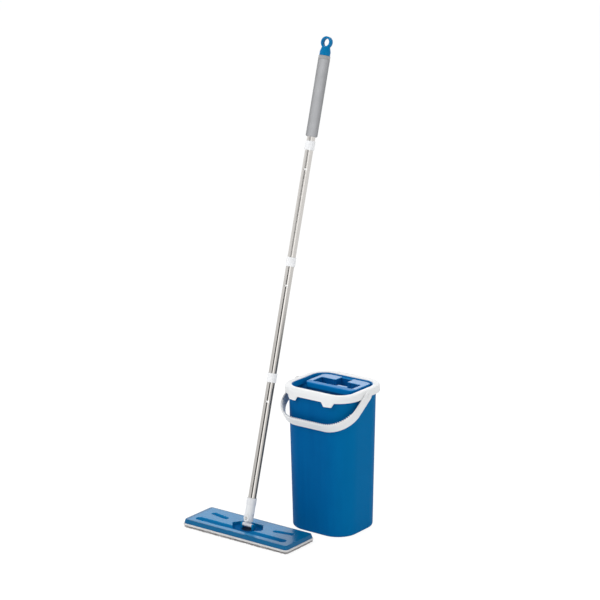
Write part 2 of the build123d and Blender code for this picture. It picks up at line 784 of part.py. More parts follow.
for index, tube_name in enumerate(tube_names):
    with BuildPart() as pole_tube:
        with BuildSketch(pole_plane(tube_starts[index])):
            Circle(tube_radius)
            Circle(tube_bore, mode=Mode.SUBTRACT)
        extrude(amount=tube_ends[index] - tube_starts[index])
        for reach in crimp_reaches:
            if tube_starts[index] < reach < tube_ends[index]:
                with Locations(pole_plane(reach)):
                    with PolarLocations(tube_radius + crimp_radius - crimp_depth, crimp_count):
                        Sphere(crimp_radius, mode=Mode.SUBTRACT)
    finish(pole_tube, tube_name)

for start, collar_name, insert_name in zip(collar_starts, collar_names, insert_names):
    middle = start + half_collar
    with BuildPart() as joint_collar:
        with BuildSketch(pole_plane(start)):
            Circle(tube_radius + collar_wall)
        extrude(amount=collar_length)
        fillet(joint_collar.edges(), radius=collar_round)
        with BuildSketch(pole_plane(start)):
            Circle(tube_radius + fixed_fit)
        extrude(amount=half_collar - collar_septum / 2 + fixed_fit, mode=Mode.SUBTRACT)
        with BuildSketch(pole_plane(start + collar_length)):
            Circle(tube_radius + fixed_fit)
        extrude(amount=-half_collar + collar_septum / 2 - fixed_fit, mode=Mode.SUBTRACT)
        with BuildSketch(pole_plane(middle)):
            Circle(tube_bore - fixed_fit)
        extrude(amount=thread_length + thread_radius)
        with BuildSketch(pole_plane(middle - collar_septum)):
            Circle(thread_radius + fixed_fit)
        extrude(amount=thread_length + collar_septum, mode=Mode.SUBTRACT)
    finish(joint_collar, collar_name)
    with BuildPart() as thread_insert:
        plug_end = middle - collar_septum / 2
        with BuildSketch(pole_plane(plug_end - insert_length)):
            Circle(tube_bore - fixed_fit)
        extrude(amount=insert_length)
        with BuildSketch(pole_plane(plug_end)):
            Circle(thread_radius)
        extrude(amount=thread_length)
    finish(thread_insert, insert_name)

# Hand grip with its end ring
with BuildPart() as hand_grip:
    with BuildSketch(pole_plane(grip_start)):
        Circle(grip_radius)
    extrude(amount=grip_length)
    fillet(hand_grip.edges().sort_by(Axis.Z)[0], radius=grip_round)
    with BuildSketch(pole_plane(grip_start)):
        Circle(tube_radius + fixed_fit)
    extrude(amount=grip_length, mode=Mode.SUBTRACT)
finish(hand_grip, "hand_grip")

with BuildPart() as grip_end_ring:
    with BuildSketch(pole_plane(grip_end + fixed_fit)):
        Circle(grip_radius)
    extrude(amount=grip_ring_length)
    fillet(grip_end_ring.edges().sort_by(Axis.Z)[-1], radius=grip_round / 2)
    with BuildSketch(pole_plane(grip_end + fixed_fit)):
        Circle(tube_radius + fixed_fit)
    extrude(amount=grip_ring_length, mode=Mode.SUBTRACT)
finish(grip_end_ring, "grip_end_ring")

# Hanger cap: a plug in the top tube, a flange, a tapered neck and the hanging loop
neck_start = cap_start + cap_base_height
loop_centre = neck_start + cap_neck_height + loop_radius - loop_sink
with BuildPart() as hanging_loop:
    with BuildSketch(pole_side(loop_centre)):
        Circle(loop_radius)
        Circle(loop_bore, mode=Mode.SUBTRACT)
    extrude(amount=loop_thickness / 2, both=True)
    fillet(hanging_loop.edges().filter_by(GeomType.CIRCLE), radius=loop_round)

with BuildPart() as hanger_cap:
    with BuildSketch(pole_plane(cap_start - cap_plug_length)):
        Circle(tube_bore - fixed_fit)
    extrude(amount=cap_plug_length + cap_base_height)
    with BuildSketch(pole_plane(cap_start + fixed_fit)):
        Circle(cap_base_radius)
    extrude(amount=cap_base_height - fixed_fit)
    with BuildSketch(pole_plane(neck_start)):
        Circle(cap_base_radius)
    with BuildSketch(pole_plane(neck_start + cap_neck_height)):
        Ellipse(cap_neck_radius, loop_thickness / 2)
    loft()
    add(hanging_loop.part)
finish(hanger_cap, "hanger_cap")
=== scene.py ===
# Looks for the flat mop and its wringer bucket: finishes, cloth pad, grip, ribs, springs, light and camera.
import math

import bmesh
import bpy
from mathutils import Matrix, Vector


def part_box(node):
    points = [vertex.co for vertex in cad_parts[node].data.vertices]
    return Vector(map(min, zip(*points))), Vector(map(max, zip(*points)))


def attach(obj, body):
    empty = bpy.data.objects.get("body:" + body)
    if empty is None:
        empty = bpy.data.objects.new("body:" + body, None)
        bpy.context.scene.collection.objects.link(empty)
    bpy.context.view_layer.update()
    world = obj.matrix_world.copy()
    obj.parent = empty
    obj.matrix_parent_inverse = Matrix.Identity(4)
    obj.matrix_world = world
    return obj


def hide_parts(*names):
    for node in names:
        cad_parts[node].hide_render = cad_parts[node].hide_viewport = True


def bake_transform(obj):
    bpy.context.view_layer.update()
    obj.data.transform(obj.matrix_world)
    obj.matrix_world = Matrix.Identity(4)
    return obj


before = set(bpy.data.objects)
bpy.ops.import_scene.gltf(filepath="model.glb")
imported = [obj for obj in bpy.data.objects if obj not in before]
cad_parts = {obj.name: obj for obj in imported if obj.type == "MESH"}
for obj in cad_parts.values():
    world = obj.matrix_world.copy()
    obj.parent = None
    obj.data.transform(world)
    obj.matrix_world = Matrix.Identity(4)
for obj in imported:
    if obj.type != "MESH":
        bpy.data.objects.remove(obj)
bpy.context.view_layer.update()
scene = bpy.context.scene
scene.view_settings.view_transform = "Standard"
print("frame loaded:", len(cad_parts), "nodes")

mm = 0.001
poleLean = math.radians(16.2)  # the pole leans back from upright
bailHang = math.radians(34.6)  # the bail hangs below level
padLow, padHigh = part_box("mop_pad")
headX = (padLow[0] + padHigh[0]) / 2
headY = (padLow[1] + padHigh[1]) / 2
padLength = (padHigh[0] - padLow[0]) / mm
padWidth = (padHigh[1] - padLow[1]) / mm
padTop = padHigh[2] / mm


# One wrapped socket: sums and products of flows add Math nodes, add() makes any other node
class Flow:
    def __init__(self, tree, socket=None):
        self.tree = tree
        self.socket = socket

    def add(self, kind, settings=None, sockets=None, out=0):
        node = self.tree.nodes.new(kind)
        for name, value in (settings or {}).items():
            setattr(node, name, value)
        for name, value in (sockets or {}).items():
            if isinstance(value, Flow):
                self.tree.links.new(value.socket, node.inputs[name])
            else:
                node.inputs[name].default_value = value
        return Flow(self.tree, node.outputs[out] if node.outputs else None)

    def pick(self, out):
        return Flow(self.tree, self.socket.node.outputs[out])

    def maths(self, operation, first, second=0.0):
        return self.add("ShaderNodeMath", {"operation": operation}, {0: first, 1: second})

    def __add__(self, other):
        return self.maths("ADD", self, other)

    def __radd__(self, other):
        return self.maths("ADD", other, self)

    def __sub__(self, other):
        return self.maths("SUBTRACT", self, other)

    def __rsub__(self, other):
        return self.maths("SUBTRACT", other, self)

    def __mul__(self, other):
        return self.maths("MULTIPLY", self, other)

    def __pow__(self, other):
        return self.maths("POWER", self, other)

    def clamp(self, low=0.0, high=1.0):
        return self.maths("MINIMUM", self.maths("MAXIMUM", self, low), high)

    def ramp(self, low, high):
        sockets = {"Value": self, "From Min": low, "From Max": high}
        return self.add("ShaderNodeMapRange", {"interpolation_type": "SMOOTHSTEP"}, sockets)

    # A ramp whose two ends are given in millimetres
    def fade(self, span):
        return self.ramp(span[0] * mm, span[1] * mm)

    def mix(self, first, second):
        sockets = {0: self, 6: first, 7: second}
        return self.add("ShaderNodeMix", {"data_type": "RGBA"}, sockets, out=2)

    def noise(self, place, scale, detail=2.0, roughness=0.5):
        sockets = {"Vector": place, "Scale": scale, "Detail": detail, "Roughness": roughness}
        return self.add("ShaderNodeTexNoise", None, sockets)

    def chance(self, low, high, seed):
        sockets = {2: low, 3: high, "Seed": seed}
        return self.add("FunctionNodeRandomValue", {"data_type": "FLOAT"}, sockets, out=1)

    def split(self, vector):
        return self.add("ShaderNodeSeparateXYZ", None, {"Vector": vector})

    def vector(self, operation, first, second, out=0):
        return self.add("ShaderNodeVectorMath", {"operation": operation}, {0: first, 1: second}, out)

    def dot(self, first, second):
        return self.vector("DOT_PRODUCT", first, second, out=1)


def colour(red, green, blue):
    return (red, green, blue, 1.0)


def grey(level):
    return colour(level, level, level)


def newMaterial(name):
    material = bpy.data.materials.new(name)
    material.use_nodes = True
    material.node_tree.nodes.clear()
    flow = Flow(material.node_tree)
    place = flow.add("ShaderNodeTexCoord").pick("Object")
    return material, flow, place


# What is left of a surface's shine where it is dulled
mattShine = 0.04


# Ends a material; where dulled is above 0, the surface turns matt
def closeMaterial(flow, sockets, dulled=None):
    surface = flow.add("ShaderNodeBsdfPrincipled", None, sockets)
    if dulled is not None:
        matt = {**sockets, "Specular IOR Level": mattShine, "Coat Weight": 0.0}
        dull = flow.add("ShaderNodeBsdfPrincipled", None, matt)
        surface = flow.add("ShaderNodeMixShader", None, {0: dulled, 1: surface, 2: dull})
    flow.add("ShaderNodeOutputMaterial", None, {"Surface": surface})


# The head plate: a painted sheen that makes the deck paler and fades towards its right end, dull grooves and
# recess with painted shade in them, and a painted shadow round the foot of the joint
def dressPlate(flow, place, look, base):
    parts = flow.split(place)
    height = parts.pick("Z")
    halfX, halfY = look["deckHalf"]
    insideX = flow.maths("ABSOLUTE", parts - headX).fade((halfX, halfX - look["deckRim"]))
    insideY = flow.maths("ABSOLUTE", parts.pick("Y") - headY).fade((halfY, halfY - look["deckRim"]))
    inside = insideX * insideY
    # Painted sheen: the deck is painted paler where it would catch a reflection, fading towards its right end
    deck = inside * (parts - headX).fade(look["deckFade"])
    base = (deck * look["deck"]).mix(base, look["deckColour"])
    # Painted shade: the grooves and the deeper recess are painted darker, and are also made rougher and
    # duller
    sunk = inside * height.fade(look["sunkAt"])
    recess = inside * height.fade(look["recessAt"])
    base = (sunk * look["sunk"] + recess * look["recess"]).mix(base, look["sunkShadeColour"])
    # Painted shadow: a near-black ring on the recess floor round the joint's foot
    level = flow.vector("MULTIPLY", flow.vector("SUBTRACT", place, (headX, headY, 0.0)), (1.0, 1.0, 0.0))
    away = flow.add("ShaderNodeVectorMath", {"operation": "LENGTH"}, {0: level}, out=1)
    shadow = recess * away.fade(look["shadowRing"])
    base = (shadow * look["shadow"]).mix(base, look["shadowColour"])
    return base, sunk * look["sunkRough"], (sunk + recess) * look["sunkDull"]


# The insert: a front strip that the dragged pad has dulled, and a painted shadow along the foot of its
# housing
def dressInsert(flow, place, look, base):
    parts = flow.split(place)
    depth = parts.pick("Y")
    height = parts.pick("Z")
    dulled = depth.fade(look["dullBefore"]) * height.fade(look["dullAbove"])
    # Painted shadow: darker along the foot of the housing
    shadow = height.fade(look["shadowUp"]) * depth.fade(look["shadowBehind"]) * depth.fade(look["shadowBefore"])
    base = (shadow * look["shadow"]).mix(base, look["shadowColour"])
    return base, dulled


# Moulded plastics: cloudy pigment, fine spark-eroded grain, softened edges that wear a little paler
plastic = {
    "edgeGain": 5.0, "edgeRough": 0.06, "cloudScale": 9.0, "cloudRough": 0.10,
    "speckScale": 260.0, "speckTone": 0.12, "speckHeight": 0.4, "flowStretch": (60.0, 60.0, 4.0),
    "rubScale": 38.0, "rubFrom": (0.56, 0.72), "roughRange": (0.05, 0.95),
    "bumpDepth": 0.04, "index": 1.49, "coatRough": 0.12,
}


def mouldedPlastic(name, look):
    material, flow, place = newMaterial(name)
    soft = flow.add("ShaderNodeBevel", {"samples": 6}, {"Radius": look["edge"] * mm})
    flat = flow.add("ShaderNodeNewGeometry").pick("Normal")
    edge = ((1.0 - flow.dot(soft, flat)) * plastic["edgeGain"]).clamp()
    cloud = flow.noise(place, plastic["cloudScale"], 3.0)
    speck = flow.noise(place, plastic["speckScale"], 2.0)
    grain = flow.noise(place, look["grain"], 2.0, 0.6)
    stretched = flow.add("ShaderNodeMapping", None, {"Vector": place, "Scale": plastic["flowStretch"]})
    flowLines = flow.noise(stretched, 1.0, 3.0, 0.6)
    rub = flow.noise(place, plastic["rubScale"], 4.0, 0.7).ramp(*plastic["rubFrom"])
    streaks = (cloud - 0.5) * look["cloud"] + (flowLines - 0.5) * look["lines"]
    tone = streaks + (speck - 0.5) * plastic["speckTone"]
    base = (tone + 0.5).clamp().mix(look["deep"], look["pale"])
    if "sideLitColour" in look:
        # Painted light: towards its right side the tub is painted greener and paler, as the light falls there
        sideLit = flow.split(place).fade(look["sideLitFrom"])
        base = (sideLit * look["side"]).mix(base, look["sideLitColour"])
    worn = (edge * look["wear"]).mix(base, look["edgeColour"])
    rough = look["rough"] + (cloud - 0.5) * plastic["cloudRough"]
    rough = rough + rub * look["rub"] + edge * plastic["edgeRough"]
    dulled = None
    if "deckHalf" in look:
        worn, rougher, dulled = dressPlate(flow, place, look, worn)
        rough = rough + rougher
    if "dullBefore" in look:
        worn, dulled = dressInsert(flow, place, look, worn)
    height = grain + speck * plastic["speckHeight"]
    bump = {"Strength": look["bump"], "Distance": plastic["bumpDepth"] * mm, "Height": height, "Normal": soft}
    sockets = {
        "Base Color": worn,
        "Roughness": rough.clamp(*plastic["roughRange"]),
        "Normal": flow.add("ShaderNodeBump", None, bump),
        "IOR": plastic["index"],
        "Specular IOR Level": look["gloss"],
        "Coat Weight": look["coat"],
        "Coat Roughness": plastic["coatRough"],
    }
    closeMaterial(flow, sockets, dulled)
    return material


tubBlue = mouldedPlastic("tubBlue", {
    "deep": colour(0.0, 0.080, 0.255), "pale": colour(0.0, 0.122, 0.345),
    "edgeColour": colour(0.01, 0.19, 0.45), "edge": 1.2, "wear": 0.35, "grain": 1500.0, "bump": 0.22,
    "cloud": 0.8, "lines": 0.7, "rough": 0.45, "rub": 0.10, "gloss": 0.02, "coat": 0.0,
    # Painted light: greener and paler towards the tub's right side
    "sideLitColour": colour(0.0, 0.158, 0.380), "side": 0.65, "sideLitFrom": (25.0, 108.0)})
insertBlue = mouldedPlastic("insertBlue", {
    "deep": colour(0.0, 0.145, 0.41), "pale": colour(0.0, 0.210, 0.53),
    "edgeColour": colour(0.04, 0.29, 0.66), "edge": 0.7, "wear": 0.45, "grain": 1800.0, "bump": 0.12,
    "cloud": 0.6, "lines": 0.3, "rough": 0.20, "rub": 0.08, "gloss": 0.34, "coat": 0.12,
    "dullBefore": (0.5, -1.0), "dullAbove": (370.5, 372.0),
    # The darker colour along the housing's foot is a painted shadow
    "shadowColour": colour(0.0, 0.022, 0.085), "shadow": 0.8, "shadowUp": (362.5, 359.0),
    "shadowBehind": (2.0, -14.0), "shadowBefore": (-40.0, -24.0)})
# The chute is painted a darker blue than the insert: painted shade inside the slot
chuteShadeBlue = mouldedPlastic("chuteShadeBlue", {
    "deep": colour(0.0, 0.075, 0.30), "pale": colour(0.0, 0.130, 0.42),
    "edgeColour": colour(0.01, 0.13, 0.38), "edge": 0.6, "wear": 0.35, "grain": 1500.0, "bump": 0.2,
    "cloud": 0.6, "lines": 0.4, "rough": 0.42, "rub": 0.10, "gloss": 0.12, "coat": 0.0})
plateBlue = mouldedPlastic("plateBlue", {
    "deep": colour(0.0, 0.091, 0.226), "pale": colour(0.0, 0.134, 0.308),
    "edgeColour": colour(0.02, 0.21, 0.46), "edge": 0.7, "wear": 0.4, "grain": 1700.0, "bump": 0.16,
    "cloud": 0.6, "lines": 0.3, "rough": 0.22, "rub": 0.12, "gloss": 0.17, "coat": 0.04,
    # Painted sheen on the deck, painted shade in the grooves and recess, and a painted shadow round the
    # joint's foot
    "deckColour": colour(0.0, 0.212, 0.468), "deck": 0.85,
    "deckHalf": (155.0, 50.0), "deckRim": 1.0, "deckFade": (130.0, 70.0),
    "sunkShadeColour": colour(0.0, 0.060, 0.235), "sunk": 0.40, "sunkAt": (22.6, 21.4), "sunkRough": 0.5,
    "recess": 0.35, "recessAt": (16.9, 16.4), "sunkDull": 0.5,
    # The near-black ring round the joint's foot is a painted shadow
    "shadowColour": colour(0.004, 0.010, 0.024), "shadow": 0.94, "shadowRing": (21.0, 12.0)})
hangerBlue = mouldedPlastic("hangerBlue", {
    "deep": colour(0.0, 0.150, 0.36), "pale": colour(0.0, 0.205, 0.465),
    "edgeColour": colour(0.02, 0.28, 0.62), "edge": 0.6, "wear": 0.35, "grain": 1700.0, "bump": 0.14,
    "cloud": 0.5, "lines": 0.2, "rough": 0.38, "rub": 0.08, "gloss": 0.10, "coat": 0.0})
rimWhite = mouldedPlastic("rimWhite", {
    "deep": colour(0.75, 0.76, 0.77), "pale": colour(0.86, 0.865, 0.87),
    "edgeColour": colour(0.92, 0.92, 0.92), "edge": 0.9, "wear": 0.5, "grain": 1600.0, "bump": 0.14,
    "cloud": 0.5, "lines": 0.25, "rough": 0.36, "rub": 0.10, "gloss": 0.4, "coat": 0.0})
socketWhite = mouldedPlastic("socketWhite", {
    "deep": colour(0.70, 0.71, 0.73), "pale": colour(0.81, 0.815, 0.83),
    "edgeColour": colour(0.90, 0.90, 0.90), "edge": 0.5, "wear": 0.5, "grain": 2200.0, "bump": 0.12,
    "cloud": 0.5, "lines": 0.2, "rough": 0.38, "rub": 0.10, "gloss": 0.4, "coat": 0.0})
jointWhite = mouldedPlastic("jointWhite", {
    "deep": colour(0.82, 0.83, 0.85), "pale": colour(0.92, 0.925, 0.935),
    "edgeColour": colour(0.94, 0.94, 0.94), "edge": 0.5, "wear": 0.5, "grain": 2200.0, "bump": 0.12,
    "cloud": 0.5, "lines": 0.2, "rough": 0.38, "rub": 0.10, "gloss": 0.4, "coat": 0.0})
naturalNylon = mouldedPlastic("naturalNylon", {
    "deep": colour(0.66, 0.65, 0.60), "pale": colour(0.78, 0.77, 0.72),
    "edgeColour": colour(0.85, 0.85, 0.80), "edge": 0.4, "wear": 0.3, "grain": 2200.0, "bump": 0.12,
    "cloud": 0.5, "lines": 0.2, "rough": 0.45, "rub": 0.08, "gloss": 0.4, "coat": 0.0})
ringGrey = mouldedPlastic("ringGrey", {
    "deep": colour(0.31, 0.31, 0.315), "pale": colour(0.40, 0.40, 0.405),
    "edgeColour": colour(0.48, 0.48, 0.48), "edge": 0.5, "wear": 0.4, "grain": 1800.0, "bump": 0.16,
    "cloud": 0.5, "lines": 0.2, "rough": 0.52, "rub": 0.08, "gloss": 0.3, "coat": 0.0})
lipRubber = mouldedPlastic("lipRubber", {
    "deep": colour(0.018, 0.020, 0.022), "pale": colour(0.040, 0.043, 0.046),
    "edgeColour": colour(0.09, 0.09, 0.09), "edge": 0.3, "wear": 0.4, "grain": 1200.0, "bump": 0.4,
    "cloud": 0.7, "lines": 0.3, "rough": 0.62, "rub": 0.14, "gloss": 0.4, "coat": 0.0})


# The pole's own directions, and points near its axis where the tubes are crimped below their collars
poleRise = Vector((0.0, math.sin(poleLean), math.cos(poleLean)))
poleAside = Vector((0.0, math.cos(poleLean), -math.sin(poleLean)))
poleAcross = Vector((1.0, 0.0, 0.0))
crimpDrop = 49.0


def findCrimp(collar):
    low, high = [Vector(corner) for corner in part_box(collar)]
    sink = (high.x - low.x) * math.sin(poleLean)
    length = (high.z - low.z - sink) / math.cos(poleLean)
    return (low + high) / 2 - poleRise * (length / 2 + crimpDrop * mm)


collars = ["joint_collar_lower", "joint_collar_middle", "joint_collar_upper"]
crimpSpots = [findCrimp(collar) for collar in collars]


# Painted glint: a bright highlight painted beside each crimp, on one side of the tube
def crimpGlint(flow, place, look):
    up = flow.dot(place, poleRise)
    facing = poleAcross * math.cos(look["glintAt"]) + poleAside * math.sin(look["glintAt"])
    outward = flow.dot(flow.vector("SUBTRACT", place, crimpSpots[0]), facing)
    rings = [flow.maths("ABSOLUTE", up - spot.dot(poleRise)).fade(look["glintHigh"]) for spot in crimpSpots]
    return (rings[0] + rings[1] + rings[2]) * outward.fade(look["glintAcross"]) * look["glint"]


# Polished tube: draw lines run along the pole, with faint smears
steel = {
    "drawStretch": (2600.0, 2600.0, 14.0), "drawTone": 0.7, "drawHeight": 0.7, "drawRough": 0.10,
    "bandStretch": (420.0, 420.0, 2.5), "bandTone": 0.5, "bandHeight": 0.3,
    "smearScale": 26.0, "smearFrom": (0.5, 0.75), "bumpDepth": 0.02, "roughRange": (0.04, 0.8),
}


def drawnSteel(name, look):
    material, flow, place = newMaterial(name)
    along = flow.add("ShaderNodeMapping", None, {"Vector": place, "Rotation": (look["lean"], 0.0, 0.0)})
    fine = flow.add("ShaderNodeMapping", None, {"Vector": along, "Scale": steel["drawStretch"]})
    draw = flow.noise(fine, 1.0, 2.0, 0.6)
    broad = flow.add("ShaderNodeMapping", None, {"Vector": along, "Scale": steel["bandStretch"]})
    band = flow.noise(broad, 1.0, 2.0)
    smear = flow.noise(along, steel["smearScale"], 4.0, 0.65).ramp(*steel["smearFrom"])
    tone = (0.5 + (draw - 0.5) * steel["drawTone"] + (band - 0.5) * steel["bandTone"]).clamp()
    height = draw * steel["drawHeight"] + band * steel["bandHeight"]
    bump = {"Strength": look["bump"], "Distance": steel["bumpDepth"] * mm, "Height": height}
    base = tone.mix(look["deep"], look["pale"])
    rough = look["rough"] + (draw - 0.5) * steel["drawRough"] + smear * look["smear"]
    metal = 1.0
    if "satinFrom" in look:
        # Further up the pole the tubes are paler and more satin
        parts = flow.split(place)
        upper = parts.pick("Z").fade(look["satinFrom"])
        base = (upper * look["satin"]).mix(base, look["satinColour"])
        rough = rough + upper * look["satinRough"]
        # Painted reflection: on the side that faces the bucket, the lower tubes carry a dull dark grey line
        # for the bucket's dark reflection
        darkReflection = (parts - headX).fade(look["darkReflectionAcross"]) * parts.pick("Z").fade(look["darkReflectionFade"])
        base = (darkReflection * look["darkReflection"]).mix(base, look["darkReflectionColour"])
        # Painted glint: bright spots beside the crimps
        glint = crimpGlint(flow, place, look)
        base = glint.mix(base, look["glintColour"])
        metal = 1.0 - darkReflection * look["darkReflection"] - glint * look["glintMatt"]
    sockets = {
        "Base Color": base,
        "Metallic": metal,
        "Roughness": rough.clamp(*steel["roughRange"]),
        "Normal": flow.add("ShaderNodeBump", None, bump),
    }
    closeMaterial(flow, sockets)
    return material


tubeSteel = drawnSteel("tubeSteel", {
    "lean": poleLean, "deep": colour(0.44, 0.42, 0.40), "pale": colour(0.62, 0.60, 0.575),
    "rough": 0.11, "smear": 0.08, "bump": 0.22,
    "satinFrom": (480.0, 780.0), "satin": 0.6, "satinColour": colour(0.80, 0.775, 0.745), "satinRough": 0.24,
    # Painted reflection: a dark line on the lower tubes; painted glint: a bright spot beside each crimp
    "darkReflectionColour": colour(0.060, 0.062, 0.060), "darkReflection": 0.9,
    "darkReflectionAcross": (9.5, 10.1), "darkReflectionFade": (600.0, 430.0),
    "glintColour": colour(0.95, 0.95, 0.94), "glint": 0.9, "glintMatt": 0.7,
    "glintAt": math.radians(-62.7), "glintHigh": (3.2, 1.7), "glintAcross": (8.4, 9.0)})
pinSteel = drawnSteel("pinSteel", {
    "lean": 0.0, "deep": colour(0.50, 0.50, 0.50), "pale": colour(0.68, 0.68, 0.68),
    "rough": 0.26, "smear": 0.12, "bump": 0.3})


# Closed-cell foam of the grip: small cells, a cloudy grey, no gloss
def gripFoam(name, look):
    material, flow, place = newMaterial(name)
    voronoi = {"Vector": place, "Scale": look["cells"]}
    cells = flow.add("ShaderNodeTexVoronoi", {"feature": "SMOOTH_F1"}, voronoi)
    dust = flow.noise(place, look["dust"], 3.0, 0.65)
    cloud = flow.noise(place, look["cloud"], 3.0)
    clouded = (cloud - 0.5) * look["cloudTone"] + (dust - 0.5) * look["dustTone"]
    tone = (0.5 + clouded - (cells - look["cellMiddle"]) * look["cellTone"]).clamp()
    # Painted light: the sleeve's front and back are painted paler and its sides darker, as on a round sleeve
    # lit from the front
    litShare = flow.add("ShaderNodeAttribute", {"attribute_name": "litShare"}).pick("Fac")
    sideShaded = (1.0 - litShare) * look["sideShade"]
    height = 1.0 - cells + dust * look["dustHeight"]
    bump = {"Strength": look["bump"], "Distance": look["bumpDepth"] * mm, "Height": height}
    sockets = {
        "Base Color": sideShaded.mix(tone.mix(look["deep"], look["pale"]), look["sideShadeColour"]),
        "Roughness": (look["rough"] + (cloud - 0.5) * look["cloudRough"]).clamp(0.5, 0.95),
        "Normal": flow.add("ShaderNodeBump", None, bump),
    }
    closeMaterial(flow, sockets)
    return material


foamGrey = gripFoam("foamGrey", {
    "deep": colour(0.355, 0.360, 0.374), "pale": colour(0.520, 0.526, 0.542),
    "cells": 900.0, "cellMiddle": 0.4, "cellTone": 0.35, "dust": 700.0, "dustTone": 0.6, "dustHeight": 0.4,
    "cloud": 30.0, "cloudTone": 0.7, "cloudRough": 0.2, "rough": 0.78, "bump": 0.35, "bumpDepth": 0.12,
    # Painted shade on the sleeve's sides
    "sideShade": 0.75, "sideShadeColour": colour(0.17, 0.173, 0.18)})


# Microfibre: each tuft has its own tone, kept in an attribute, over a darker ground
def microfibre(name, look):
    material, flow, place = newMaterial(name)
    tuft = flow.add("ShaderNodeAttribute", {"attribute_name": "tuftTone"}, None, out=2)
    streak = flow.noise(place, look["patch"], 3.0, 0.6)
    fibre = flow.noise(place, look["fibre"], 2.0)
    patched = tuft * look["tuftTone"] + (streak - 0.5) * look["patchTone"]
    tone = (patched + (fibre - 0.5) * look["fibreTone"] + look["lift"]).clamp()
    bump = {"Strength": look["bump"], "Distance": look["bumpDepth"] * mm, "Height": fibre}
    sockets = {
        "Base Color": tone.mix(look["deep"], look["pale"]),
        "Roughness": (look["rough"] + (fibre - 0.5) * look["fibreRough"]).clamp(0.5, 1.0),
        "Normal": flow.add("ShaderNodeBump", None, bump),
        "Sheen Weight": look["sheen"],
        "Sheen Roughness": look["sheenRough"],
    }
    closeMaterial(flow, sockets)
    return material


padPileGrey = microfibre("padPileGrey", {
    "deep": colour(0.16, 0.15, 0.15), "pale": colour(0.80, 0.775, 0.765),
    "tuftTone": 0.75, "patch": 90.0, "patchTone": 1.7, "fibre": 2600.0, "fibreTone": 0.3, "fibreRough": 0.2,
    "lift": 0.1, "rough": 0.82, "sheen": 0.35, "sheenRough": 0.4, "bump": 0.4, "bumpDepth": 0.1})


# Woven tape: warp and weft on the tape's own unwrapped length and width
def wovenTape(name, look):
    material, flow, place = newMaterial(name)
    parts = flow.split(flow.add("ShaderNodeUVMap", {"uv_map": "tape"}))
    warp = flow.maths("SINE", parts * (2 * math.pi / look["warp"]))
    weft = flow.maths("SINE", parts.pick("Y") * (2 * math.pi / look["weft"]))
    over = warp * weft * 0.5 + 0.5
    fuzz = flow.noise(place, look["fuzz"], 3.0, 0.65)
    soil = flow.noise(place, look["soil"], 3.0)
    woven = (over - 0.5) * look["overTone"] + (fuzz - 0.5) * look["fuzzTone"]
    tone = (look["lift"] + woven + (soil - 0.5) * look["soilTone"]).clamp()
    height = over + fuzz * look["fuzzHeight"]
    bump = {"Strength": look["bump"], "Distance": look["bumpDepth"] * mm, "Height": height}
    sockets = {
        "Base Color": tone.mix(look["deep"], look["pale"]),
        "Roughness": (look["rough"] + (fuzz - 0.5) * look["fuzzRough"]).clamp(0.5, 1.0),
        "Normal": flow.add("ShaderNodeBump", None, bump),
        "Sheen Weight": look["sheen"],
        "Sheen Roughness": look["sheenRough"],
    }
    closeMaterial(flow, sockets)
    return material


tapeWhite = wovenTape("tapeWhite", {
    "deep": colour(0.58, 0.57, 0.57), "pale": colour(0.86, 0.85, 0.85), "warp": 0.9 * mm, "weft": 0.7 * mm,
    "overTone": 0.5, "fuzz": 1900.0, "fuzzTone": 0.5, "fuzzHeight": 0.5, "fuzzRough": 0.2,
    "soil": 45.0, "soilTone": 0.5, "lift": 0.45, "rough": 0.8, "sheen": 0.2, "sheenRough": 0.5,
    "bump": 0.6, "bumpDepth": 0.15})


# Thread and hook tape: fine twisted fibre
spun = {"tone": 1.4, "rough": 0.75, "twistRough": 0.2, "bump": 0.5, "bumpDepth": 0.08}


def spunFibre(name, look):
    material, flow, place = newMaterial(name)
    twist = flow.noise(place, look["twist"], 3.0, 0.7)
    tone = ((twist - 0.5) * spun["tone"] + 0.5).clamp()
    bump = {"Strength": spun["bump"], "Distance": spun["bumpDepth"] * mm, "Height": twist}
    sockets = {
        "Base Color": tone.mix(look["deep"], look["pale"]),
        "Roughness": (spun["rough"] + (twist - 0.5) * spun["twistRough"]).clamp(0.4, 1.0),
        "Normal": flow.add("ShaderNodeBump", None, bump),
    }
    closeMaterial(flow, sockets)
    return material


threadWhite = spunFibre("threadWhite", {
    "deep": colour(0.62, 0.61, 0.61), "pale": colour(0.90, 0.90, 0.89), "twist": 2200.0})
hookBlack = spunFibre("hookBlack", {
    "deep": colour(0.012, 0.012, 0.014), "pale": colour(0.06, 0.06, 0.065), "twist": 1500.0})
print("materials made")

finishes = {
    tubBlue: ["bucket_tub"],
    rimWhite: ["rim_collar", "bail_pivot_studs", "bail_handle", "pole_socket"],
    insertBlue: ["wringer_lid"],
    chuteShadeBlue: ["wringer_chute"],
    plateBlue: ["head_plate"],
    hangerBlue: ["hanger_cap"],
    socketWhite: ["socket_nut", "joint_yoke", "squeegee_bar"],
    jointWhite: collars,
    naturalNylon: ["thread_insert_lower", "thread_insert_middle", "thread_insert_upper"],
    ringGrey: ["grip_end_ring"],
    lipRubber: ["squeegee_lip"],
    tubeSteel: ["pole_tube_lower", "pole_tube_second", "pole_tube_third", "pole_tube_top"],
    pinSteel: ["chute_screws", "squeegee_hinge_pin", "tilt_pin", "fold_pin"],
    hookBlack: ["hook_strips"],
}
for finish, nodes in finishes.items():
    for node in nodes:
        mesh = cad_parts[node].data
        mesh.materials.clear()
        mesh.materials.append(finish)
print("finishes on", sum(len(nodes) for nodes in finishes.values()), "CAD nodes")


def newPiece(name, mesh, material, body):
    piece = bpy.data.objects.new(name, mesh)
    scene.collection.objects.link(piece)
    mesh.materials.clear()
    mesh.materials.append(material)
    if body:
        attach(piece, body)
    return piece


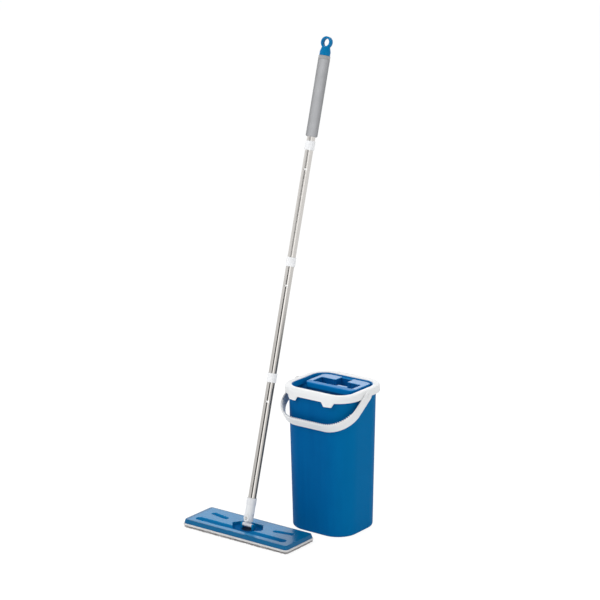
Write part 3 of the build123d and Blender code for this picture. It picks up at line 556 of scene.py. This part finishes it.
# Geometry trees: sizes become named inputs, and the result becomes a plain mesh
def newTree(name, sizes):
    tree = bpy.data.node_groups.new(name, "GeometryNodeTree")
    tree.interface.new_socket("Geometry", in_out="INPUT", socket_type="NodeSocketGeometry")
    tree.interface.new_socket("Geometry", in_out="OUTPUT", socket_type="NodeSocketGeometry")
    for label, value in sizes.items():
        kind = "NodeSocketInt" if isinstance(value, int) else "NodeSocketFloat"
        tree.interface.new_socket(label, in_out="INPUT", socket_type=kind)
    return Flow(tree, tree.nodes.new("NodeGroupInput").outputs[0])


def closeTree(start, geometry, material):
    real = start.add("GeometryNodeRealizeInstances", None, {"Geometry": geometry})
    dressed = start.add("GeometryNodeSetMaterial", None, {"Geometry": real, "Material": material})
    start.add("NodeGroupOutput", None, {0: dressed})


def grow(name, data, start, sizes):
    holder = bpy.data.objects.new(name + "Holder", data)
    scene.collection.objects.link(holder)
    modifier = holder.modifiers.new("grow", "NODES")
    modifier.node_group = start.tree
    for item in start.tree.interface.items_tree:
        if item.in_out == "INPUT" and item.name in sizes:
            modifier[item.identifier] = sizes[item.name]
    evaluated = holder.evaluated_get(bpy.context.evaluated_depsgraph_get())
    mesh = bpy.data.meshes.new_from_object(evaluated)
    holder.modifiers.remove(modifier)
    bpy.data.objects.remove(holder)
    mesh.name = name
    return mesh


# Rounded rectangle walked anticlockwise: points, outward directions and distance along it
def walkOutline(length, width, corner, step):
    points = []
    for centreX, centreY, start in ((1, 1, 0), (-1, 1, 90), (-1, -1, 180), (1, -1, 270)):
        centre = Vector((centreX * (length / 2 - corner), centreY * (width / 2 - corner)))
        turns = max(6, round(corner * math.pi / 2 / step))
        for index in range(turns + 1):
            angle = math.radians(start + 90 * index / turns)
            outward = Vector((math.cos(angle), math.sin(angle)))
            points.append((centre + outward * corner, outward))
    walked = []
    along = 0.0
    for (point, outward), (after, nextOutward) in zip(points, points[1:] + points[:1]):
        run = (after - point).length
        pieces = max(1, round(run / step))
        for index in range(pieces):
            share = index / pieces
            facing = outward.lerp(nextOutward, share).normalized()
            walked.append((point.lerp(after, share), facing, along + run * share))
        along += run
    return walked, along


# Rings of the same count of points, skinned into a closed mesh
def skinRings(name, rings, closeRound=False, capped=True):
    shape = bmesh.new()
    rows = [[shape.verts.new(point) for point in ring] for ring in rings]
    pairs = list(zip(rows, rows[1:]))
    if closeRound:
        pairs.append((rows[-1], rows[0]))
    for low, high in pairs:
        for index in range(len(low)):
            after = (index + 1) % len(low)
            shape.faces.new((low[index], low[after], high[after], high[index]))
    if capped and not closeRound:
        shape.faces.new(list(reversed(rows[0])))
        shape.faces.new(rows[-1])
    bmesh.ops.recalc_face_normals(shape, faces=shape.faces)
    mesh = bpy.data.meshes.new(name)
    shape.to_mesh(mesh)
    shape.free()
    for polygon in mesh.polygons:
        polygon.use_smooth = True
    return mesh


# Mop pad: a soft core, and a pile of small curled tufts on its sides and underside
pad = {
    "corner": 12.0, "step": 3.0, "bindingHeight": 5.0, "rebate": 4.2, "ripple": (0.31, 0.083),
    "pile": 2.3, "tufts": 190000.0, "tuftHeight": 2.2, "tuftCurl": 1.1, "tuftRadius": 0.34, "seed": 7,
    "tuftRoot": 0.4, "bendShare": 0.75, "tipShare": 0.95, "leanMost": 0.45, "smallest": 0.65, "upward": 0.5,
}


def padRing(inset, height, swell):
    walked, total = walkOutline(padLength, padWidth, pad["corner"], pad["step"])
    first, second = pad["ripple"]
    ring = []
    for point, outward, along in walked:
        ripple = swell * math.sin(along * first) * math.sin(along * second + 1.0)
        spot = point + outward * (ripple - inset)
        ring.append((headX + spot.x * mm, headY + spot.y * mm, height * mm))
    return ring


def makePad():
    pile = pad["pile"]
    bindingBottom = padTop - pad["bindingHeight"]
    # Inset, height and swell of each ring, from the top to the underside
    profile = [
        (pad["rebate"], padTop - 0.1, 0.0), (pad["rebate"], bindingBottom, 0.0),
        (pile + 0.5, bindingBottom, 0.0), (pile + 0.1, bindingBottom - 0.6, 0.2),
        (pile - 0.3, bindingBottom - 1.6, 0.3),
        (pile - 0.2, pile + 1.4, 0.3), (pile + 0.5, pile + 0.5, 0.2), (pile + 1.6, pile, 0.0),
    ]
    core = skinRings("padCore", [padRing(*row) for row in profile])
    sizes = {key: pad[key] for key in ("tufts", "tuftHeight", "tuftCurl", "tuftRadius", "seed")}
    start = newTree("padPileTree", sizes)
    height = start.pick("tuftHeight") * mm
    curl = start.pick("tuftCurl") * mm
    normal = start.split(start.add("GeometryNodeInputNormal"))
    bare = start.add("FunctionNodeCompare", {"operation": "LESS_THAN"},
                     {0: normal.pick("Z"), 1: pad["upward"]})
    spread = {"Mesh": start, "Selection": bare, "Density": start.pick("tufts"), "Seed": start.pick("seed")}
    dots = start.add("GeometryNodeDistributePointsOnFaces", None, spread)
    bendPoint = start.add("ShaderNodeCombineXYZ", None, {"Z": height * pad["bendShare"]})
    tipPoint = start.add("ShaderNodeCombineXYZ", None, {"X": curl, "Z": height * pad["tipShare"]})
    root = (0.0, 0.0, -pad["tuftRoot"] * mm)
    strand = start.add("GeometryNodeCurveQuadraticBezier", None,
                       {"Resolution": 3, "Start": root, "Middle": bendPoint, "End": tipPoint})
    ring = start.add("GeometryNodeCurvePrimitiveCircle", None,
                     {"Resolution": 3, "Radius": start.pick("tuftRadius") * mm})
    tuft = start.add("GeometryNodeCurveToMesh", None,
                     {"Curve": strand, "Profile Curve": ring, "Fill Caps": True})
    spin = start.chance(0.0, 2 * math.pi, start.pick("seed"))
    lean = start.chance(-pad["leanMost"], pad["leanMost"], start.pick("seed") + 1)
    swing = start.add("ShaderNodeCombineXYZ", None, {"X": lean, "Z": spin})
    turned = start.add("FunctionNodeRotateRotation", {"rotation_space": "LOCAL"},
                       {"Rotation": dots.pick("Rotation"), "Rotate By": swing})
    size = start.chance(pad["smallest"], 1.0, start.pick("seed") + 2)
    placed = start.add("GeometryNodeInstanceOnPoints", None,
                       {"Points": dots, "Instance": tuft, "Rotation": turned, "Scale": size})
    shade = start.chance(0.0, 1.0, start.pick("seed") + 3)
    toned = start.add("GeometryNodeStoreNamedAttribute", {"data_type": "FLOAT", "domain": "INSTANCE"},
                      {"Geometry": placed, "Name": "tuftTone", "Value": shade})
    joined = start.add("GeometryNodeJoinGeometry", None, {"Geometry": toned})
    start.tree.links.new(start.socket, joined.socket.node.inputs["Geometry"])
    closeTree(start, joined, padPileGrey)
    mesh = grow("padPile", core, start, sizes)
    piece = newPiece("padPile", mesh, padPileGrey, "mop_head")
    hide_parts("mop_pad")
    print("pad made:", len(mesh.polygons), "faces")


makePad()

# Sewn edge: a folded tape round the pad, puckered between overlock stitches
binding = {
    "step": 0.75, "stitchPitch": 3.1, "pucker": 0.18, "puckerDepth": 2.0, "tapeTop": 12.34, "tapeHeight": 4.8,
    "threadRadius": 0.28, "threadRise": 4.1, "threadSlant": 1.4, "threadStand": 0.42, "threadFoot": 0.4,
    "threadBow": 2.4, "threadTuck": 0.3,
}
# Offset from the pad's outline, and share of the tape's height
tapeProfile = [
    (-3.7, 0.95), (-2.4, 1.0), (-1.2, 0.99), (-0.35, 0.92), (0.02, 0.76), (0.12, 0.5),
    (0.04, 0.22), (-0.35, 0.06), (-1.0, 0.01), (-2.2, 0.0), (-3.7, 0.02), (-3.8, 0.5)]


def makeBinding():
    walked, total = walkOutline(padLength, padWidth, pad["corner"], binding["step"])
    stitches = round(total / binding["stitchPitch"])
    pitch = total / stitches
    tapeBottom = binding["tapeTop"] - binding["tapeHeight"]
    section = [(offset, tapeBottom + share * binding["tapeHeight"]) for offset, share in tapeProfile]
    rings = []
    for point, outward, along in walked:
        squeeze = binding["pucker"] * math.cos(2 * math.pi * along / pitch)
        ring = []
        for offset, height in section:
            reach = offset + squeeze * max(0.0, 1.0 + offset / binding["puckerDepth"])
            spot = point + outward * reach
            ring.append((headX + spot.x * mm, headY + spot.y * mm, height * mm))
        rings.append(ring)
    mesh = skinRings("bindingTape", rings, closeRound=True)
    across = [0.0]
    for (offset, height), (nextOffset, nextHeight) in zip(section, section[1:] + section[:1]):
        across.append(across[-1] + math.hypot(nextOffset - offset, nextHeight - height))
    layer = mesh.uv_layers.new(name="tape")
    count = len(section)
    for polygon in mesh.polygons:
        corners = [mesh.loops[loop].vertex_index for loop in polygon.loop_indices]
        lastRow = any(corner // count == len(walked) - 1 for corner in corners)
        lastColumn = any(corner % count == count - 1 for corner in corners)
        for loop, corner in zip(polygon.loop_indices, corners):
            row, column = divmod(corner, count)
            along = total if lastRow and row == 0 else walked[row][2]
            side = across[count] if lastColumn and column == 0 else across[column]
            layer.data[loop].uv = (along * mm, side * mm)
    tape = newPiece("bindingTape", mesh, tapeWhite, "mop_head")
    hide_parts("pad_binding")

    path = bpy.data.curves.new("stitchPath", "CURVE")
    path.dimensions = "3D"
    spline = path.splines.new("POLY")
    spline.points.add(len(walked) - 1)
    spline.use_cyclic_u = True
    threadZ = (tapeBottom + binding["threadFoot"]) * mm
    for dot, (point, outward, along) in zip(spline.points, walked):
        dot.co = (headX + point.x * mm, headY + point.y * mm, threadZ, 1.0)
    sizes = {key: binding[key] for key in ("threadRadius", "threadRise", "threadSlant", "threadStand")}
    sizes["stitches"] = stitches
    start = newTree("overlockTree", sizes)
    dots = start.add("GeometryNodeCurveToPoints", {"mode": "COUNT"},
                     {"Curve": start, "Count": start.pick("stitches")})
    turned = start.add("FunctionNodeAlignRotationToVector", {"axis": "X", "pivot_axis": "Z"},
                       {"Vector": dots.pick("Tangent")})
    rise = start.pick("threadRise") * mm
    stand = start.pick("threadStand") * mm
    slant = start.pick("threadSlant") * mm
    tuck = binding["threadTuck"] * mm
    bow = stand * -binding["threadBow"]
    middle = start.add("ShaderNodeCombineXYZ", None, {"X": slant * 0.5, "Y": bow, "Z": rise * 0.5})
    end = start.add("ShaderNodeCombineXYZ", None, {"X": slant, "Y": tuck, "Z": rise})
    strand = start.add("GeometryNodeCurveQuadraticBezier", None,
                       {"Resolution": 6, "Start": (0.0, tuck, 0.0), "Middle": middle, "End": end})
    ring = start.add("GeometryNodeCurvePrimitiveCircle", None,
                     {"Resolution": 5, "Radius": start.pick("threadRadius") * mm})
    thread = start.add("GeometryNodeCurveToMesh", None,
                       {"Curve": strand, "Profile Curve": ring, "Fill Caps": True})
    placed = start.add("GeometryNodeInstanceOnPoints", None,
                       {"Points": dots, "Instance": thread, "Rotation": turned})
    closeTree(start, placed, threadWhite)
    stitchMesh = grow("overlockThread", path, start, sizes)
    newPiece("overlockThread", stitchMesh, threadWhite, "mop_head")
    print("binding made:", stitches, "stitches")


makeBinding()

# Foam grip: a turned sleeve with soft ends and a slightly uneven wall
grip = {
    "radius": 15.0, "bore": 10.53, "sides": 96, "rows": 120, "endRound": 1.8, "topRound": 0.54, "topCut": 0.6,
    "wave": 0.10, "waves": (61.0, 23.0), "wallShare": 0.9, "litAt": -56.0,
}


def makeGrip():
    # The sleeve's length and place come from its CAD solid's box, along the leaning pole
    low, high = [Vector(corner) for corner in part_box("hand_grip")]
    radius = grip["radius"] * mm
    bore = grip["bore"] * mm
    bottomRound = grip["endRound"] * mm
    topRound = grip["topRound"] * mm
    length = (high.z - low.z - 2 * radius * math.sin(poleLean)) / math.cos(poleLean)
    foot = (low + high) / 2 - poleRise * length / 2
    rows = []
    for index in range(grip["rows"] + 1):
        bottomGap = length * index / grip["rows"]
        topGap = length - bottomGap
        size = radius
        if bottomGap < bottomRound:
            size -= bottomRound - math.sqrt(max(0.0, bottomRound ** 2 - (bottomRound - bottomGap) ** 2))
        if topGap < topRound:
            size -= (topRound - topGap) * grip["topCut"]
        rows.append((bottomGap, size))
    first, second = grip["waves"]
    rings = []
    litShare = []
    for place, size in rows + [(length, bore), (0.0, bore)]:
        ring = []
        for side in range(grip["sides"]):
            angle = 2 * math.pi * side / grip["sides"]
            # Painted light: how lit each point of the sleeve is painted, most at front and back
            litShare.append(math.cos(angle - math.radians(grip["litAt"])) ** 2)
            dent = 0.0
            if size > grip["wallShare"] * radius:
                uneven = math.sin(place * first + 2 * angle) * math.sin(place * second + angle)
                dent = grip["wave"] * mm * (0.5 + 0.5 * uneven)
            outward = poleAcross * math.cos(angle) + poleAside * math.sin(angle)
            ring.append(foot + poleRise * place + outward * (size - dent))
        rings.append(ring)
    mesh = skinRings("foamSleeve", rings, closeRound=True)
    mesh.attributes.new("litShare", "FLOAT", "POINT").data.foreach_set("value", litShare)
    piece = newPiece("foamSleeve", mesh, foamGrey, "pole")
    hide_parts("hand_grip")
    print("grip made:", len(mesh.polygons), "faces")


makeGrip()

# Bail ribs: rounded bars on the inside of the bail's bend and hand hold
bailRib = {
    "innerHalf": 108.7, "innerReach": 121.0, "innerCorner": 65.0, "cornerStart": 18, "pivotZ": 363.0,
    "cornerSteps": 12, "ribs": 42, "ribLength": 20.6, "ribShift": 2.1, "ribWidth": 1.4, "ribHeight": 3.0,
    "ribSteps": 9, "ribSides": 10, "blunt": 6.0, "thinnest": 0.75,
}


def makeBailRibs():
    half, reach, corner = bailRib["innerHalf"], bailRib["innerReach"], bailRib["innerCorner"]
    skipped = bailRib["cornerStart"]
    points = []
    steps = bailRib["cornerSteps"]
    for centreX, start, finish in ((-half + corner, 180 + skipped, 270), (half - corner, 270, 360 - skipped)):
        for index in range(steps + 1):
            angle = math.radians(start + (finish - start) * index / steps)
            points.append((centreX + corner * math.cos(angle), -reach + corner + corner * math.sin(angle)))
    path = bpy.data.curves.new("bailPath", "CURVE")
    path.dimensions = "3D"
    spline = path.splines.new("POLY")
    spline.points.add(len(points) - 1)
    for dot, (x, y) in zip(spline.points, points):
        dot.co = (x * mm, y * mm, 0.0, 1.0)
    sizes = {key: bailRib[key] for key in ("ribs", "ribLength", "ribShift", "ribWidth", "ribHeight")}
    start = newTree("bailRibTree", sizes)
    dots = start.add("GeometryNodeCurveToPoints", {"mode": "COUNT"},
                     {"Curve": start, "Count": start.pick("ribs")})
    turned = start.add("FunctionNodeAlignRotationToVector", {"axis": "X", "pivot_axis": "Z"},
                       {"Vector": dots.pick("Tangent")})
    halfLength = start.pick("ribLength") * (0.5 * mm)
    shift = start.pick("ribShift") * mm
    low = start.add("ShaderNodeCombineXYZ", None, {"Z": shift - halfLength})
    high = start.add("ShaderNodeCombineXYZ", None, {"Z": shift + halfLength})
    line = start.add("GeometryNodeCurvePrimitiveLine", None, {"Start": low, "End": high})
    fine = start.add("GeometryNodeResampleCurve", None, {"Curve": line, "Count": bailRib["ribSteps"]})
    share = start.add("GeometryNodeSplineParameter")
    swell = (1.0 - start.maths("ABSOLUTE", share * 2.0 - 1.0) ** bailRib["blunt"]) ** 0.5
    tapered = start.add("GeometryNodeSetCurveRadius", None,
                        {"Curve": fine, "Radius": swell.clamp(bailRib["thinnest"], 1.0)})
    ring = start.add("GeometryNodeCurvePrimitiveCircle", None,
                     {"Resolution": bailRib["ribSides"], "Radius": 1.0 * mm})
    bar = start.add("GeometryNodeCurveToMesh", None,
                    {"Curve": tapered, "Profile Curve": ring, "Fill Caps": True})
    girth = start.add("ShaderNodeCombineXYZ", None,
                      {"X": start.pick("ribWidth"), "Y": start.pick("ribHeight"), "Z": 1.0})
    shaped = start.add("GeometryNodeTransform", None, {"Geometry": bar, "Scale": girth})
    placed = start.add("GeometryNodeInstanceOnPoints", None,
                       {"Points": dots, "Instance": shaped, "Rotation": turned})
    closeTree(start, placed, rimWhite)
    mesh = grow("bailRibs", path, start, sizes)
    # The bail's own plane: hung forwards from its pivots
    mesh.transform(Matrix.Translation((0, 0, bailRib["pivotZ"] * mm)) @ Matrix.Rotation(bailHang, 4, "X"))
    newPiece("bailRibs", mesh, rimWhite, "bail")
    print("bail ribs made:", bailRib["ribs"])


makeBailRibs()

# Leaf springs: thin strips from the chute's wall to the squeegee's bar
leaf = {
    "spacing": 70.0, "width": 10.0, "thickness": 0.6, "chamfer": 0.15, "tipShare": 0.72, "steps": 8,
    "foot": (-9.3, 309.5), "bendStart": (-9.3, 320.5), "bend": (-9.3, 325.4),
    "bendEnd": (-6.9, 329.9), "contact": (-0.92, 341.42),
}


def leafPath():
    foot, start, bend, end, contact = [
        Vector(leaf[key]) for key in ("foot", "bendStart", "bend", "bendEnd", "contact")]
    shares = [index / leaf["steps"] for index in range(leaf["steps"] + 1)]
    path = [foot.lerp(start, share) for share in shares[:-1]]
    path += [start.lerp(bend, share).lerp(bend.lerp(end, share), share) for share in shares]
    path += [end.lerp(contact, share) for share in shares[1:]]
    return path


def makeSprings():
    path = leafPath()
    thick, cut = leaf["thickness"] / 2, leaf["chamfer"]
    shape = bmesh.new()
    for side in (-1, 1):
        rings = []
        for index, dot in enumerate(path):
            run = (path[min(index + 1, len(path) - 1)] - path[max(index - 1, 0)]).normalized()
            across = Vector((run.y, -run.x))
            half = leaf["width"] / 2 * (leaf["tipShare"] if index in (0, len(path) - 1) else 1.0)
            corners = [(half, thick - cut), (half - cut, thick), (cut - half, thick), (-half, thick - cut),
                       (-half, cut - thick), (cut - half, -thick), (half - cut, -thick), (half, cut - thick)]
            ring = []
            for wide, out in corners:
                spot = dot + across * out
                ring.append(Vector((side * leaf["spacing"] / 2 + wide, spot.x, spot.y)) * mm)
            rings.append(ring)
        strip = skinRings("leafStrip", rings)
        shape.from_mesh(strip)
        bpy.data.meshes.remove(strip)
    mesh = bpy.data.meshes.new("leafSprings")
    shape.to_mesh(mesh)
    shape.free()
    piece = newPiece("leafSprings", mesh, pinSteel, None)
    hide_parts("squeegee_springs")
    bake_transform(piece)
    print("leaf springs made")


makeSprings()

# Studio: white sweep, soft lamps, and the photograph's viewpoint
studio = {
    "floorSize": 14.0, "floorDrop": 0.4, "paper": 0.90, "mirrored": 0.85,
    "floorWhite": 0.82, "floorGlow": 1.11,
    "worldLevel": 0.60, "wallLevel": 0.528, "wallTop": (0.55, 0.35), "ceilingLevel": 0.048, "boxGlow": 2.0,
    "wallBands": [(-44.0, 15.0, 0.47), (-78.0, 19.0, -0.52), (-104.0, 14.0, 0.08), (-130.0, 22.0, -0.064),
                  (0.0, 20.0, -0.048), (127.0, 40.0, 0.46)],
    "lamps": [("keyBox", (-1.6, -2.6, 2.6), (-0.05, -0.1, 0.35), 50.0, 2.0),
              ("fillBox", (3.0, -1.2, 1.8), (0.0, 0.0, 0.35), 25.0, 2.0),
              ("topBox", (-0.6, 1.4, 3.2), (-0.05, 0.0, 0.3), 26.0, 2.4)],
    "cameraAt": (3.1606, -4.3031, 2.0309), "lens": 133.2, "sensor": 36.0, "farthest": 60.0,
    "right": (0.798, 0.6026, -0.0066), "up": (-0.1516, 0.2113, 0.9656), "forward": (-0.5832, 0.7696, -0.26),
}


def makeFloor():
    shape = bmesh.new()
    bmesh.ops.create_grid(shape, x_segments=2, y_segments=2, size=studio["floorSize"])
    mesh = bpy.data.meshes.new("studioFloor")
    shape.to_mesh(mesh)
    shape.free()
    mesh.transform(Matrix.Translation((0, 0, -studio["floorDrop"] * mm)))
    floor = bpy.data.objects.new("studioFloor", mesh)
    scene.collection.objects.link(floor)
    material, flow, place = newMaterial("sweepWhite")
    rays = flow.add("ShaderNodeLightPath")
    mirrored = rays.pick("Is Glossy Ray")
    seen = (rays.pick("Is Camera Ray") + mirrored + rays.pick("Is Transmission Ray")).clamp()
    paper = flow.add("ShaderNodeBsdfDiffuse", None, {"Color": grey(studio["paper"])})
    tone = mirrored.mix(grey(1.0), grey(studio["mirrored"]))
    glow = flow.add("ShaderNodeEmission", None, {"Color": tone, "Strength": studio["floorGlow"]})
    mixed = flow.add("ShaderNodeMixShader", None, {0: seen * studio["floorWhite"], 1: paper, 2: glow})
    flow.add("ShaderNodeOutputMaterial", None, {"Surface": mixed})
    mesh.materials.append(material)


def makeWorld():
    world = bpy.data.worlds.new("studioWorld")
    scene.world = world
    world.use_nodes = True
    world.node_tree.nodes.clear()
    flow = Flow(world.node_tree)
    rays = flow.add("ShaderNodeLightPath")
    parts = flow.split(flow.add("ShaderNodeTexCoord").pick("Generated"))
    # What shiny surfaces mirror: a bright strip box, dark gaps beside it, and dimmer walls
    turn = flow.maths("ARCTAN2", parts.pick("Y"), parts)
    flat = flow.maths("ABSOLUTE", parts.pick("Z")).ramp(*studio["wallTop"])
    level = studio["wallLevel"]
    for at, wide, gain in studio["wallBands"]:
        offset = flow.maths("COSINE", turn - math.radians(at))
        level = level + offset.ramp(math.cos(math.radians(wide)), 1.0) * gain
    shade = (level - studio["ceilingLevel"]) * flat + studio["ceilingLevel"]
    tint = shade.clamp().mix(grey(0.0), grey(1.0))
    plain = flow.add("ShaderNodeBackground", None, {"Color": grey(1.0), "Strength": studio["worldLevel"]})
    boxes = flow.add("ShaderNodeBackground", None, {"Color": tint, "Strength": studio["boxGlow"]})
    white = flow.add("ShaderNodeBackground", None, {"Color": grey(1.0), "Strength": 1.0})
    glossy = flow.add("ShaderNodeMixShader", None, {0: rays.pick("Is Glossy Ray"), 1: plain, 2: boxes})
    backed = flow.add("ShaderNodeMixShader", None, {0: rays.pick("Is Camera Ray"), 1: glossy, 2: white})
    flow.add("ShaderNodeOutputWorld", None, {"Surface": backed})


def makeLamp(name, place, target, power, size):
    lamp = bpy.data.lights.new(name, "AREA")
    lamp.shape = "SQUARE"
    lamp.size = size
    lamp.energy = power
    holder = bpy.data.objects.new(name, lamp)
    holder.location = place
    holder.rotation_euler = (Vector(target) - Vector(place)).to_track_quat("-Z", "Y").to_euler()
    holder.visible_glossy = False
    scene.collection.objects.link(holder)


def makeCamera():
    camera = bpy.data.cameras.new("photoCamera")
    camera.lens = studio["lens"]
    camera.sensor_width = studio["sensor"]
    camera.clip_end = studio["farthest"]
    holder = bpy.data.objects.new("photoCamera", camera)
    scene.collection.objects.link(holder)
    axes = [Vector(studio["right"]), Vector(studio["up"]), -Vector(studio["forward"])]
    turn = Matrix(axes).transposed().to_4x4()
    holder.matrix_world = Matrix.Translation(studio["cameraAt"]) @ turn
    scene.camera = holder


makeFloor()
makeWorld()
for lamp in studio["lamps"]:
    makeLamp(*lamp)
makeCamera()
print("studio ready")
